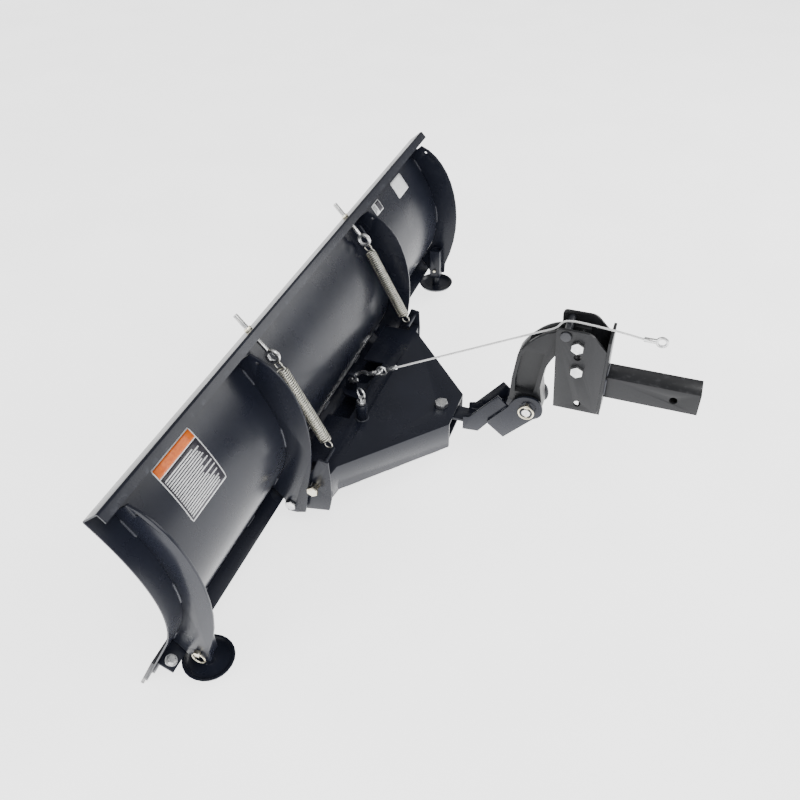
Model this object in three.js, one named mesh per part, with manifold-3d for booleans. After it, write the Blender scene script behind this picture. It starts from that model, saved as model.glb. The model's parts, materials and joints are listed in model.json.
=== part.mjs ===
// An ATV snow plow: a 60 inch curved blade that trips on two springs, a swivel frame that angles it,
// a push arm that lifts on one clevis pin, and a mount with a 2 inch receiver shank.
// Millimetres. X is across the plow, Y points back to the vehicle, Z is up.
// Sizes are worked out from the moldboard's top bend, which is y = 0, z = 0 until the last line.
import * as THREE from 'three';
import * as BufferGeometryUtils from 'three/addons/utils/BufferGeometryUtils.js';
import Module from 'manifold-3d';

const wasm = await Module();
wasm.setup();

const GAP = 0.3;
const CLEAR = 0.5;
const SIDES = [['left', -1], ['right', 1]];

// Blade
const BLADE_WIDTH = 1524;
const HALF = BLADE_WIDTH / 2;
const SHEET = 3;
const CURL_CONTROL = [134, -158];
const CURL_END = [82, -286];
const MOLDBOARD_FOOT = [0, -447];
const FLANGE_WIDTH = 45;
const LIP_WIDTH = 18;
const WEAR_BAR_HEIGHT = 102;
const WEAR_BAR_THICKNESS = 6.4;
const WEAR_BAR_DROP = 22;
const WEAR_BOLT_SPACING = 240;
const ANGLE_LEG = 34;
const ANGLE_DEPTH = 50;
const ANGLE_THICKNESS = 5;
const ANGLE_LENGTH = BLADE_WIDTH - 8;
const RIB_THICKNESS = 5;
const END_RIB_X = 714;
const MID_RIB_X = 306;

// Trip hinge and springs
const TRIP = [90, -392];
const STOP = [149, -328];
const TRIP_BOLT_R = 8;
const STOP_BOLT_R = 8;
const FRAME_EAR_X = 294;
const EYE_X = 246;
const EYE_REACH = 66;
const EYE_THREAD = 44;
const EYE_RING_R = 13;
const EYE_WIRE_R = 5;
const HOOK_POINT = [172, -262];
const SPRING_STUD_R = 4;
const SPRING_R = 14;
const HOOK_WIRE_R = 2.5;

// Swivel frame
const PLATE = 5;
const PAN_TOP = -290;
const PAN_DEPTH = 70;
const PAN_FRONT_Y = 152;
const PAN_NOTCH = 110;
const PAN_LIP_Y = 100;
const PAN_FLOOR_Y = 76;
const PAN_WIDE = 262;
const PAN_CORNER_Y = 187;
const FLANGE_WALL = 7;
const WING_FRONT_Y = 166;
const WING_X = FRAME_EAR_X - PLATE / 2 - GAP;
const PAN_TAIL_Y = 374;
const PAN_TAIL = 56;
const SWIVEL_Y = 338;
const KING_R = 9.5;
const PULL_PIN = [98, 180];
const PULL_PIN_R = 6;

// Push arm
const ARM_HALF = 27.7;
const ARM_FRONT_Y = 398;
const ARM_WALL = 5;
const ARM_TOP = -284;
const ARM_BOTTOM = -320;
const ARM_HEEL = [458, -283];
const CHEEK = 6;
const CHEEK_X = 31;
const LIFT_PIN = [542, -219];
const LIFT_PIN_R = 9.5;
const SECTOR_R = 200;
const SECTOR_SPREAD = 36;
const SECTOR_TOP = PAN_TOP - PLATE - 2.5;
const SECTOR_THICKNESS = 6;
const INDEX_STEP = 12.5;
const NECK_HALF = 22;
const NECK_END_Y = 432;
const NOSE_Y = 114;
const NOSE_R = 24;
const LUG_HOLE = [114, -266];

// Mount
const MOUNT_HALF = 38;
const SHANK = 50.8;
const SHANK_WALL = 5;
const SHANK_TOP = -97;
const SHANK_END_Y = 880;
const MOUNT_POINT_Y = 800;

// Skid shoes
const SKID_X = 696;
const SKID_Y = 101;
const SLEEVE = 30;
const SLEEVE_TOP = -300;
const SLEEVE_FOOT = -390;
const POST_R = 11;
const DISC_R = 50.8;
const DISC_TOP = -413;
const DISC_DEPTH = 14;
const SKID_TRAVEL = 20;
const SKID_PIN_Z = -366;
const SKID_PIN_R = 4;

// ---- Materials ----
const paint = (color, roughness) => new THREE.MeshStandardMaterial({ color, roughness, metalness: 0.3 });
const BLUE_BLACK = paint(0x30333c, 0.35);
const SATIN_GREY = paint(0x3b3c40, 0.5);
const BARE = new THREE.MeshStandardMaterial({ color: 0x8d8f92, roughness: 0.45, metalness: 0.9 });
const ZINC = new THREE.MeshStandardMaterial({ color: 0xc9cbc8, roughness: 0.3, metalness: 1 });

// ---- Solids ----
function toSolid(geometry) {
  const bare = geometry.clone();
  bare.deleteAttribute('normal');
  bare.deleteAttribute('uv');
  const merged = BufferGeometryUtils.mergeVertices(bare, 1e-4);
  const vertProperties = new Float32Array(merged.attributes.position.array);
  const triVerts = new Uint32Array(merged.index.array);
  return new wasm.Manifold(new wasm.Mesh({ numProp: 3, vertProperties, triVerts }));
}

function toGeometry(solid) {
  const mesh = solid.getMesh();
  const geometry = new THREE.BufferGeometry();
  geometry.setAttribute('position', new THREE.BufferAttribute(new Float32Array(mesh.vertProperties), 3));
  geometry.setIndex(new THREE.BufferAttribute(new Uint32Array(mesh.triVerts), 1));
  return geometry;
}

const join = (...parts) => toGeometry(parts.map(toSolid).reduce((a, b) => a.add(b)));
const cut = (part, ...tools) => toGeometry(tools.map(toSolid).reduce((a, b) => a.subtract(b), toSolid(part)));

function outline(points) {
  const shape = new THREE.Shape();
  shape.moveTo(...points[0]);
  for (const point of points.slice(1)) {
    if (point.length === 2) shape.lineTo(...point);
    else if (point.length === 4) shape.quadraticCurveTo(...point);
    else shape.bezierCurveTo(...point);
  }
  return shape;
}

function extrude(shape, depth, curveSegments = 12) {
  return new THREE.ExtrudeGeometry(shape, { depth, bevelEnabled: false, curveSegments });
}

// A plate whose outline is in (y, z), centred on x.
function plateX(shape, x, thickness, curveSegments) {
  const geometry = extrude(shape, thickness, curveSegments);
  geometry.translate(0, 0, -thickness / 2);
  const turn = new THREE.Matrix4().makeBasis(
    new THREE.Vector3(0, 1, 0), new THREE.Vector3(0, 0, 1), new THREE.Vector3(1, 0, 0));
  geometry.applyMatrix4(turn);
  return geometry.translate(x, 0, 0);
}

// A plate whose outline is in (x, y), with its lower face at z.
function plateZ(shape, z, thickness, curveSegments) {
  return extrude(shape, thickness, curveSegments).translate(0, 0, z);
}

function box(x0, x1, y0, y1, z0, z1) {
  const geometry = new THREE.BoxGeometry(x1 - x0, y1 - y0, z1 - z0);
  return geometry.translate((x0 + x1) / 2, (y0 + y1) / 2, (z0 + z1) / 2);
}

function rodX(x0, x1, y, z, r, sides = 16) {
  return new THREE.CylinderGeometry(r, r, x1 - x0, sides).rotateZ(Math.PI / 2).translate((x0 + x1) / 2, y, z);
}

function rodZ(x, y, z0, z1, r, sides = 16) {
  return new THREE.CylinderGeometry(r, r, z1 - z0, sides).rotateX(Math.PI / 2).translate(x, y, (z0 + z1) / 2);
}

// A rod between two points in (y, z) at one x.
function rodBetween(x, from, to, r, sides = 12) {
  const length = Math.hypot(to[0] - from[0], to[1] - from[1]);
  const tilt = Math.atan2(to[1] - from[1], to[0] - from[0]);
  const geometry = new THREE.CylinderGeometry(r, r, length, sides).rotateX(tilt);
  return geometry.translate(x, (from[0] + to[0]) / 2, (from[1] + to[1]) / 2);
}

// A tube of round section along points, bent smoothly.
function bentRod(points, r, steps, sides = 8) {
  const path = new THREE.CatmullRomCurve3(points.map((p) => new THREE.Vector3(...p)), false, 'centripetal');
  const section = new THREE.Shape();
  section.absarc(0, 0, r, 0, 2 * Math.PI);
  const options = { steps, extrudePath: path, curveSegments: sides, bevelEnabled: false };
  return new THREE.ExtrudeGeometry(section, options);
}

const along = (from, direction, length) => [from[0] + direction[0] * length, from[1] + direction[1] * length];
const unit = (v) => [v[0] / Math.hypot(...v), v[1] / Math.hypot(...v)];
const between = (a, b) => unit([b[0] - a[0], b[1] - a[1]]);

// ---- Blade profile: a quadratic curl, then a straight foot ----
const TOP_BEND = [0, 0];
const TOP_DIRECTION = between(TOP_BEND, CURL_CONTROL);
const FOOT_DIRECTION = between(CURL_END, MOLDBOARD_FOOT);
const FOOT_NORMAL = [-FOOT_DIRECTION[1], FOOT_DIRECTION[0]];
const FLANGE_DIRECTION = [-TOP_DIRECTION[1], TOP_DIRECTION[0]];
const FLANGE_END = along(TOP_BEND, FLANGE_DIRECTION, FLANGE_WIDTH);
const LIP_END = along(FLANGE_END, TOP_DIRECTION, LIP_WIDTH);

// A point on the moldboard's back face pushed out by offset; t runs over the curl.
function curlPoint(t, offset) {
  const [cy, cz] = CURL_CONTROL;
  const [ey, ez] = CURL_END;
  const y = 2 * (1 - t) * t * cy + t * t * ey;
  const z = 2 * (1 - t) * t * cz + t * t * ez;
  const slope = unit([2 * (1 - 2 * t) * cy + 2 * t * ey, 2 * (1 - 2 * t) * cz + 2 * t * ez]);
  return [y - slope[1] * offset, z + slope[0] * offset];
}

function curlPoints(offset, from, to, count) {
  const points = [];
  for (let i = 0; i <= count; i++) points.push(curlPoint(from + (to - from) * i / count, offset));
  return points;
}

const footPoint = (z, offset) => {
  const run = (z - CURL_END[1]) / FOOT_DIRECTION[1];
  return along(along(CURL_END, FOOT_DIRECTION, run), FOOT_NORMAL, offset);
};

function moldboard() {
  const front = curlPoints(-SHEET, 0, 1, 16);
  const back = curlPoints(0, 0, 1, 16);
  const points = [
    along(FLANGE_END, TOP_DIRECTION, -SHEET),
    along(along(TOP_BEND, TOP_DIRECTION, -SHEET), FLANGE_DIRECTION, -SHEET),
    ...front.slice(1),
    along(MOLDBOARD_FOOT, FOOT_NORMAL, -SHEET),
    MOLDBOARD_FOOT,
    ...back.slice(1).reverse(),
    TOP_BEND,
    along(FLANGE_END, FLANGE_DIRECTION, -SHEET),
    along(LIP_END, FLANGE_DIRECTION, -SHEET),
    LIP_END,
    along(FLANGE_END, TOP_DIRECTION, -SHEET),
  ];
  const body = plateX(outline(points.slice(0, -1)), 0, BLADE_WIDTH);
  const tools = [];
  for (const [, side] of SIDES) tools.push(rodBetween(side * EYE_X, EYE_AXIS_TOP, EYE, EYE_WIRE_R + 1));
  for (const x of WEAR_BOLTS) tools.push(rodBetween(x, ...wearBoltAxis(40, -40), 5.5));
  return cut(body, ...tools);
}

// ---- Wear bar and its bolts ----
const WEAR_FOOT = along(MOLDBOARD_FOOT, FOOT_DIRECTION, WEAR_BAR_DROP);
const WEAR_TOP = along(WEAR_FOOT, FOOT_DIRECTION, -WEAR_BAR_HEIGHT);
const WEAR_BOLTS = [-2.5, -1.5, -0.5, 0.5, 1.5, 2.5].map((n) => n * WEAR_BOLT_SPACING);
const WEAR_BOLT_AT = along(WEAR_TOP, FOOT_DIRECTION, 30);
const acrossFoot = (offset) => along(WEAR_BOLT_AT, FOOT_NORMAL, offset);
const wearBoltAxis = (back, front) => [acrossFoot(back), acrossFoot(front)];

function wearBar() {
  const inner = -SHEET - GAP;
  const outer = inner - WEAR_BAR_THICKNESS;
  const points = [
    along(WEAR_TOP, FOOT_NORMAL, inner),
    along(WEAR_TOP, FOOT_NORMAL, outer),
    along(WEAR_FOOT, FOOT_NORMAL, outer),
    along(WEAR_FOOT, FOOT_NORMAL, inner),
  ];
  const tools = WEAR_BOLTS.map((x) => rodBetween(x, ...wearBoltAxis(40, -40), 5.5));
  return cut(plateX(outline(points), 0, BLADE_WIDTH), ...tools);
}

function wearBolt(x) {
  const face = -SHEET - GAP - WEAR_BAR_THICKNESS;
  const nutFace = ANGLE_THICKNESS + 2 * GAP;
  const head = rodBetween(x, ...wearBoltAxis(face - GAP, face - 5), 10.5, 12);
  const shank = rodBetween(x, ...wearBoltAxis(face - 2, nutFace + 12), 4.8, 10);
  const nut = rodBetween(x, ...wearBoltAxis(nutFace, nutFace + 8), 9, 6);
  return join(head, shank, nut);
}

// ---- Bottom angle behind the moldboard ----
const ANGLE_TOP = along(WEAR_TOP, FOOT_DIRECTION, -5);

function bottomAngle() {
  const leg = (run, offset) => along(along(ANGLE_TOP, FOOT_DIRECTION, run), FOOT_NORMAL, offset + GAP);
  const points = [
    leg(0, 0), leg(0, ANGLE_LEG), leg(ANGLE_THICKNESS, ANGLE_LEG),
    leg(ANGLE_THICKNESS, ANGLE_THICKNESS), leg(ANGLE_DEPTH, ANGLE_THICKNESS), leg(ANGLE_DEPTH, 0),
  ];
  const tools = WEAR_BOLTS.map((x) => rodBetween(x, ...wearBoltAxis(40, -40), 5.5));
  return cut(plateX(outline(points), 0, ANGLE_LENGTH), ...tools);
}

// ---- Ribs: an end rib stops above the angle, a middle rib runs down into the trip ear ----
const RIB_BELLY = [140, -20, 195, -190, 124, -356];

const RIB_FOOT_Z = -352;
const RIB_START = 0.06;
const RIB_HOLE = [62, -8];

// The rib's edge on the moldboard, from its foot up to just below the top flange.
function ribEdge() {
  const curl = curlPoints(GAP, RIB_START, 1, 12);
  const top = [along(curl[0], FLANGE_DIRECTION, 30), along(LIP_END, [0.4, -1], 6)];
  return [footPoint(RIB_FOOT_Z, GAP), ...curl.reverse(), ...top];
}

function endRib(x) {
  const foot = [[122, -386], [75.5, -386], [60, -364]];
  const plate = plateX(outline([...ribEdge(), RIB_BELLY, ...foot]), x, RIB_THICKNESS, 12);
  const pinHole = rodX(x - 10, x + 10, SKID_Y, SKID_PIN_Z, SKID_PIN_R + CLEAR);
  return cut(plate, pinHole, rodX(x - 10, x + 10, ...RIB_HOLE, 3.5, 12));
}

function midRib(x) {
  const rear = [[140, -20, 177, -150, 142, -300], [138, -332]];
  const [ty] = TRIP;
  const ear = [
    [ty + 33, -408], [ty + 10, -416], [ty - 10, -416], [ty - 14.5, -404], [ty - 14.5, -384], [60, -364],
  ];
  const plate = plateX(outline([...ribEdge(), ...rear, ...ear]), x, RIB_THICKNESS, 12);
  const tripHole = rodX(x - 10, x + 10, ...TRIP, TRIP_BOLT_R + GAP);
  return cut(plate, tripHole, rodX(x - 10, x + 10, ...RIB_HOLE, 3.5, 12));
}

// ---- Eye bolts through the top flange, with their nuts ----
const EYE_DIRECTION = [-TOP_DIRECTION[0], -TOP_DIRECTION[1]];
const FLANGE_MIDDLE = along(TOP_BEND, FLANGE_DIRECTION, FLANGE_WIDTH / 2);
const EYE = along(FLANGE_MIDDLE, TOP_DIRECTION, EYE_REACH);
const EYE_AXIS_TOP = along(FLANGE_MIDDLE, EYE_DIRECTION, EYE_THREAD);

function eyeBolt(x) {
  const ring = new THREE.TorusGeometry(EYE_RING_R, EYE_WIRE_R, 8, 16).rotateY(Math.PI / 2);
  ring.translate(x, ...EYE);
  const shank = rodBetween(x, along(EYE, EYE_DIRECTION, EYE_RING_R), EYE_AXIS_TOP, EYE_WIRE_R);
  return join(ring, shank);
}

function eyeNut(x, side) {
  const start = along(FLANGE_MIDDLE, EYE_DIRECTION, side > 0 ? SHEET + GAP : -GAP);
  const nut = rodBetween(x, start, along(start, EYE_DIRECTION, side * 7), 8.5, 6);
  const bore = [along(start, EYE_DIRECTION, -20), along(start, EYE_DIRECTION, 20)];
  return cut(nut, rodBetween(x, ...bore, EYE_WIRE_R + GAP));
}

// ---- Trip springs: a closed body with a hook at each end ----
const SPRING_DIRECTION = between(EYE, HOOK_POINT);

function tripSpring(x) {
  const top = along(EYE, SPRING_DIRECTION, 34);
  const foot = along(HOOK_POINT, SPRING_DIRECTION, -30);
  const body = rodBetween(x, top, foot, SPRING_R, 20);
  const upperEnd = along(EYE, SPRING_DIRECTION, EYE_RING_R + EYE_WIRE_R + 1);
  const lowerEnd = along(HOOK_POINT, SPRING_DIRECTION, -SPRING_STUD_R - 1);
  const upper = rodBetween(x, upperEnd, along(top, SPRING_DIRECTION, 2), HOOK_WIRE_R, 8);
  const lower = rodBetween(x, along(foot, SPRING_DIRECTION, -2), lowerEnd, HOOK_WIRE_R, 8);
  return join(body, upper, lower);
}

// ---- Skid shoes: a disc on a post that slides in a square sleeve and hangs on a cross pin ----
function skidSleeve(x) {
  const half = SLEEVE / 2;
  const tube = box(x - half, x + half, SKID_Y - half, SKID_Y + half, SLEEVE_FOOT, SLEEVE_TOP);
  const bore = rodZ(x, SKID_Y, SLEEVE_FOOT - 1, SLEEVE_TOP + 1, POST_R + 0.6, 20);
  return cut(tube, bore, rodX(x - SLEEVE, x + SLEEVE, SKID_Y, SKID_PIN_Z, SKID_PIN_R + CLEAR));
}

function skidShoe(x) {
  const disc = [
    [0, -DISC_DEPTH], [DISC_R - 14, -DISC_DEPTH], [DISC_R - 4, -8], [DISC_R, 0],
    [DISC_R - 5, 0], [DISC_R - 8, -5], [DISC_R - 17, -9], [POST_R, -9],
  ].map(([r, z]) => [r, DISC_TOP + z]);
  const post = [[POST_R, SLEEVE_TOP - 6], [POST_R - 2, SLEEVE_TOP - 4], [0, SLEEVE_TOP - 4]];
  const profile = [...disc, ...post].map((p) => new THREE.Vector2(...p));
  const shoe = new THREE.LatheGeometry(profile, 24).rotateX(Math.PI / 2).translate(x, SKID_Y, 0);
  const wide = SKID_PIN_R + CLEAR;
  const slotFoot = SKID_PIN_Z - SKID_TRAVEL - wide;
  const slot = box(x - 30, x + 30, SKID_Y - wide, SKID_Y + wide, slotFoot, SKID_PIN_Z + wide);
  return cut(shoe, slot);
}

// The lynch pin of a skid shoe: it goes in through the end rib and its ring hangs from its head.
function skidPin(side) {
  const face = END_RIB_X + RIB_THICKNESS / 2 + GAP;
  const span = (a, b) => [side * a, side * b].sort((p, q) => p - q);
  const pin = rodX(...span(SKID_X - SLEEVE / 2 - 5, face + 1), SKID_Y, SKID_PIN_Z, SKID_PIN_R, 12);
  const head = box(...span(face, face + 8), SKID_Y - 5, SKID_Y + 5, SKID_PIN_Z - 6, SKID_PIN_Z + 6);
  const ring = new THREE.TorusGeometry(13, 1.8, 6, 16).rotateY(Math.PI / 2);
  return join(pin, head, ring.translate(side * (face + 4), SKID_Y, SKID_PIN_Z - 14));
}

// ---- Swivel frame ----
// The pan's top plate and side flanges are one folded sheet, open at the front and at the tail.
// Its front is notched for the lift lug, and a wing at each side reaches out to the ear.
function panTop() {
  const z = PAN_TOP - PAN_DEPTH;
  const half = [
    [PAN_NOTCH, PAN_FRONT_Y], [PAN_NOTCH, PAN_LIP_Y], [PAN_WIDE, PAN_LIP_Y],
    [PAN_WIDE, WING_FRONT_Y], [WING_X, WING_FRONT_Y], [WING_X, PAN_CORNER_Y - 4],
    [PAN_WIDE, PAN_CORNER_Y], [PAN_TAIL, PAN_TAIL_Y],
  ];
  const mirrored = half.map(([x, y]) => [-x, y]).reverse();
  const inner = [
    [PAN_WIDE - FLANGE_WALL, PAN_LIP_Y - 1], [PAN_WIDE - FLANGE_WALL, PAN_CORNER_Y],
    [PAN_TAIL - FLANGE_WALL, PAN_TAIL_Y + 1],
  ];
  const innerMirrored = inner.map(([x, y]) => [-x, y]).reverse();
  const shell = plateZ(outline([...half, ...mirrored]), z, PAN_DEPTH);
  const inside = plateZ(outline([...inner, ...innerMirrored]), z - 1, PAN_DEPTH - PLATE + 1);
  const kingHole = rodZ(0, SWIVEL_Y, PAN_TOP - 20, PAN_TOP + 20, KING_R + GAP, 24);
  const [px, py] = PULL_PIN;
  const pinHoles = SIDES.map(([, side]) => rodZ(side * px, py, PAN_TOP - 20, PAN_TOP + 20, PULL_PIN_R + CLEAR));
  return cut(shell, inside, kingHole, ...pinHoles);
}

function panBottom() {
  const z = PAN_TOP - PAN_DEPTH;
  const shape = outline([
    [-PAN_WIDE + 12, PAN_FLOOR_Y], [PAN_WIDE - 12, PAN_FLOOR_Y],
    [PAN_WIDE - 12, PAN_CORNER_Y],
    [PAN_TAIL - 2, PAN_TAIL_Y - 8], [-PAN_TAIL + 2, PAN_TAIL_Y - 8], [-PAN_WIDE + 12, PAN_CORNER_Y],
  ]);
  return cut(plateZ(shape, z - PLATE - GAP, PLATE), rodZ(0, SWIVEL_Y, z - 20, z + 20, KING_R + GAP, 24));
}

// An ear carries the trip bolt, the stop bolt and a welded stud that the spring hooks over.
function frameEar(side) {
  const x = side * FRAME_EAR_X;
  const points = [
    [TRIP[0] - 18, -390], [TRIP[0] - 16, -404], [TRIP[0], -412], [112, -410], [176, -396], [184, -360],
    [186, -300], [184, -250], [162, -246], [150, -276], [132, -306], [104, -372],
  ];
  const plate = plateX(outline(points), x, PLATE);
  const span = [x, side * (EYE_X - 8)].sort((p, q) => p - q);
  const holes = [
    rodX(x - 10, x + 10, ...TRIP, TRIP_BOLT_R + GAP),
    rodX(x - 10, x + 10, ...STOP, STOP_BOLT_R + GAP),
  ];
  return cut(join(plate, rodX(...span, ...HOOK_POINT, SPRING_STUD_R, 12)), ...holes);
}

// A hex bolt across x, with its head outside and its nut inside.
function sideBolt(side, outer, inner, at, r, head) {
  const span = (a, b) => [Math.min(side * a, side * b), Math.max(side * a, side * b)];
  return join(
    rodX(...span(inner - 9, outer + 2), ...at, r, 16),
    rodX(...span(outer + GAP, outer + 8), ...at, head, 6),
    rodX(...span(inner - GAP - 8, inner - GAP), ...at, head, 6));
}

function pullPinHousing() {
  const [x, y] = PULL_PIN;
  const tube = rodZ(x, y, PAN_TOP + GAP, PAN_TOP + 42, 13, 24);
  return cut(tube, rodZ(x, y, PAN_TOP - 5, PAN_TOP + 60, PULL_PIN_R + 0.5));
}

function pullPin() {
  const [x, y] = PULL_PIN;
  const pin = rodZ(x, y, SECTOR_TOP + GAP, PAN_TOP + 62, PULL_PIN_R);
  const ring = new THREE.TorusGeometry(13, 2.5, 8, 20).rotateY(Math.PI / 3).rotateX(Math.PI / 2);
  const collar = rodZ(x, y, PAN_TOP + 44, PAN_TOP + 52, 10);
  return join(pin, ring.translate(x, y, PAN_TOP + 72), collar);
}

// ---- Push arm ----
// The index sector: an arc of pin holes, a nose for the lift lug and a neck back to the arm.
function armSector() {
  const spread = THREE.MathUtils.degToRad(SECTOR_SPREAD);
  const down = -Math.PI / 2;
  const nose = 0.15;
  const shape = new THREE.Shape();
  shape.absarc(0, SWIVEL_Y, SECTOR_R, down - spread, down - nose);
  shape.absarc(0, NOSE_Y, NOSE_R, Math.PI, 2 * Math.PI);
  shape.absarc(0, SWIVEL_Y, SECTOR_R, down + nose, down + spread);
  const neck = [[40, SWIVEL_Y + 6], [NECK_HALF, SWIVEL_Y + 34], [NECK_HALF, NECK_END_Y]];
  for (const [x, y] of neck) shape.lineTo(x, y);
  for (const [x, y] of neck.reverse()) shape.lineTo(-x, y);
  const plate = plateZ(shape, SECTOR_TOP - SECTOR_THICKNESS, SECTOR_THICKNESS, 10);
  const through = (x, y, r, sides) => rodZ(x, y, SECTOR_TOP - 20, SECTOR_TOP + 20, r, sides);
  const holes = [through(0, SWIVEL_Y, KING_R + GAP, 24)];
  const reach = [PULL_PIN[0], SWIVEL_Y - PULL_PIN[1]];
  const start = Math.atan2(...reach);
  const r = Math.hypot(...reach);
  for (const [, side] of SIDES) {
    for (let n = 0; n < 3; n++) {
      const angle = side * (start - n * THREE.MathUtils.degToRad(INDEX_STEP));
      holes.push(through(r * Math.sin(angle), SWIVEL_Y - r * Math.cos(angle), PULL_PIN_R + CLEAR, 12));
    }
  }
  return cut(plate, ...holes);
}

// The arm: a channel open at the top that runs back flat and then climbs to the lift pin.
function armChannel() {
  const floor = ARM_BOTTOM + ARM_WALL;
  const side = [
    [ARM_FRONT_Y, ARM_TOP], [413, -280], [474, -204], [500, -228], ARM_HEEL, [434, -317],
    [ARM_FRONT_Y, ARM_BOTTOM],
  ];
  const hollow = [
    [ARM_FRONT_Y - 1, floor], [431, -311], [454, -280], [484, -241], [493, -248], [520, -240], [520, -190],
    [ARM_FRONT_Y - 1, -190],
  ];
  const inside = plateX(outline(hollow), 0, 2 * (ARM_HALF - ARM_WALL));
  return cut(plateX(outline(side), 0, 2 * ARM_HALF), inside);
}

function armCheek(x) {
  const [py, pz] = LIFT_PIN;
  const points = [
    ARM_HEEL, [455, -277], [500, -222], [512, -186, py, pz + 34], [py + 33, pz + 34, py + 33, pz],
    [py + 33, pz - 14, py + 16, pz - 22], [494, -312],
  ];
  return cut(plateX(outline(points), x, CHEEK), rodX(x - 10, x + 10, ...LIFT_PIN, LIFT_PIN_R + GAP, 24));
}

function kingBolt() {
  const top = PAN_TOP + GAP;
  const foot = PAN_TOP - PAN_DEPTH - PLATE - 2 * GAP;
  return join(
    rodZ(0, SWIVEL_Y, foot - 14, top + 2, KING_R, 24),
    rodZ(0, SWIVEL_Y, top, top + 12, 16, 6),
    rodZ(0, SWIVEL_Y, foot - 12, foot, 16, 6));
}

function liftLug() {
  const [y, z] = LUG_HOLE;
  const foot = SECTOR_TOP + GAP;
  const points = [
    [y - 15, foot], [y + 15, foot], [y + 14, z], [y + 14, z + 15, y, z + 15], [y - 14, z + 15, y - 14, z],
  ];
  return cut(plateX(outline(points), 0, 8), rodX(-10, 10, y, z, 8.5, 20));
}

// ---- Winch line: hook in the lug, thimble, ferrule, taut wire rope over the mount ----
const PULL = between(LUG_HOLE, [598, -6]);
const onLine = (run, x = 0) => [x, ...along(LUG_HOLE, PULL, run)];
const PULL_TILT = Math.atan2(PULL[1], PULL[0]);

function winchHook() {
  const route = [[66, 0], [50, -2], [35, -13], [18, -17], [5, -11], [1.5, 0], [5, 10], [15, 15], [26, 13]];
  const body = bentRod(route.map(([run, x]) => onLine(run, x)), 5, 24, 4);
  const eye = new THREE.TorusGeometry(10, 3.5, 8, 20).rotateX(PULL_TILT).translate(...onLine(78));
  return join(body, eye);
}

function cableThimble() {
  return new THREE.TorusGeometry(11, 3, 8, 20).rotateY(Math.PI / 2).translate(...onLine(89));
}

function cableFerrule() {
  const [, y0, z0] = onLine(103.5);
  const [, y1, z1] = onLine(130);
  return rodBetween(0, [y0, z0], [y1, z1], 5.5, 12);
}

const CABLE_R = 2.4;
const GUIDE = [604, -6];
const GUIDE_R = 8;
const CABLE_ROUTE = [
  onLine(130 + GAP), onLine(200), onLine(300), onLine(400), onLine(480), onLine(524),
  [0, 590, 0], [0, GUIDE[0], 5.2], [0, 622, 6], [0, 660, 4], [0, 705, 0], [0, 750, -6],
];

function winchCable() {
  return bentRod(CABLE_ROUTE, CABLE_R, 48, 4);
}

function cableEye() {
  const sleeve = new THREE.CylinderGeometry(5, 5, 24, 12).translate(0, 750 + GAP + 12, -6);
  const eye = new THREE.TorusGeometry(10, 3, 8, 20).rotateY(Math.PI / 2).translate(0, 750 + 24 + 11, -6);
  return join(sleeve, eye);
}

// ---- Mount ----
const MOUNT_BOLTS = [[630, -26], [635, -84]];
const SPARE_HOLES = [[632, -53], [645, -170]];
const MOUNT_BOLT_R = 7.5;
const MOUNT_PLATE = 6;
const HANGER_HALF = 21;
const POCKET_DEPTH = 14;
const CABLE_SLOT = 9;
const WEB = 6;
const REAR_WEB_Y = 690;

// The hanger: an upright with a pocket in each side, from the lift pin up between the mount's plates.
function hanger() {
  const [py, pz] = LIFT_PIN;
  const points = [
    [py - 28, pz - 2], [498, -202], [500, -150], [508, -86], [518, -64, 540, -42], [560, -20, 590, -12],
    [646, -12], [646, -52], [600, -54], [582, -70, 568, -110], [562, -160], [py + 28, pz + 10],
    [py + 32, pz - 28, py, pz - 28], [py - 30, pz - 28, py - 28, pz - 2],
  ];
  const pocket = [
    [509, -184], [508, -150], [516, -88], [524, -72], [564, -72], [558, -112], [552, -160], [548, -184],
  ];
  const tools = SIDES.map(([, side]) => plateX(outline(pocket), side * HANGER_HALF, 2 * POCKET_DEPTH));
  tools.push(rodX(-60, 60, ...LIFT_PIN, LIFT_PIN_R + GAP, 24));
  tools.push(rodX(-60, 60, ...GUIDE, GUIDE_R + GAP, 16));
  for (const at of MOUNT_BOLTS) tools.push(rodX(-60, 60, ...at, MOUNT_BOLT_R + GAP, 16));
  tools.push(box(-CABLE_SLOT, CABLE_SLOT, 520, 660, -56, 20));
  return cut(plateX(outline(points), 0, 2 * HANGER_HALF), ...tools);
}

function mountPlate(x) {
  const rear = REAR_WEB_Y - WEB / 2 - GAP;
  const points = [
    [596, -188], [584, -2], [584, 8, 594, 8], [640, 8], [652, 8, 660, 0], [rear, -28], [rear, -188],
  ];
  const holes = SPARE_HOLES.map((at) => rodX(x - 10, x + 10, ...at, MOUNT_BOLT_R));
  holes.push(...MOUNT_BOLTS.map((at) => rodX(x - 10, x + 10, ...at, MOUNT_BOLT_R + GAP)));
  holes.push(rodX(x - 10, x + 10, ...GUIDE, GUIDE_R + GAP));
  return cut(plateX(outline(points), x, MOUNT_PLATE), ...holes);
}

// A web across the mount's plates; the shank is welded to the rear one.
function mountWeb(y, edge, top) {
  return box(-edge, edge, y - WEB / 2, y + WEB / 2, -188, top);
}

function receiverShank() {
  const half = SHANK / 2;
  const front = REAR_WEB_Y + WEB / 2 + GAP;
  const outer = box(-half, half, front, SHANK_END_Y, SHANK_TOP - SHANK, SHANK_TOP);
  const inner = box(
    -half + SHANK_WALL, half - SHANK_WALL, front - 1, SHANK_END_Y + 1,
    SHANK_TOP - SHANK + SHANK_WALL, SHANK_TOP - SHANK_WALL);
  return cut(outer, inner, rodX(-60, 60, MOUNT_POINT_Y + 30, SHANK_TOP - half, 8, 24));
}

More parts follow.
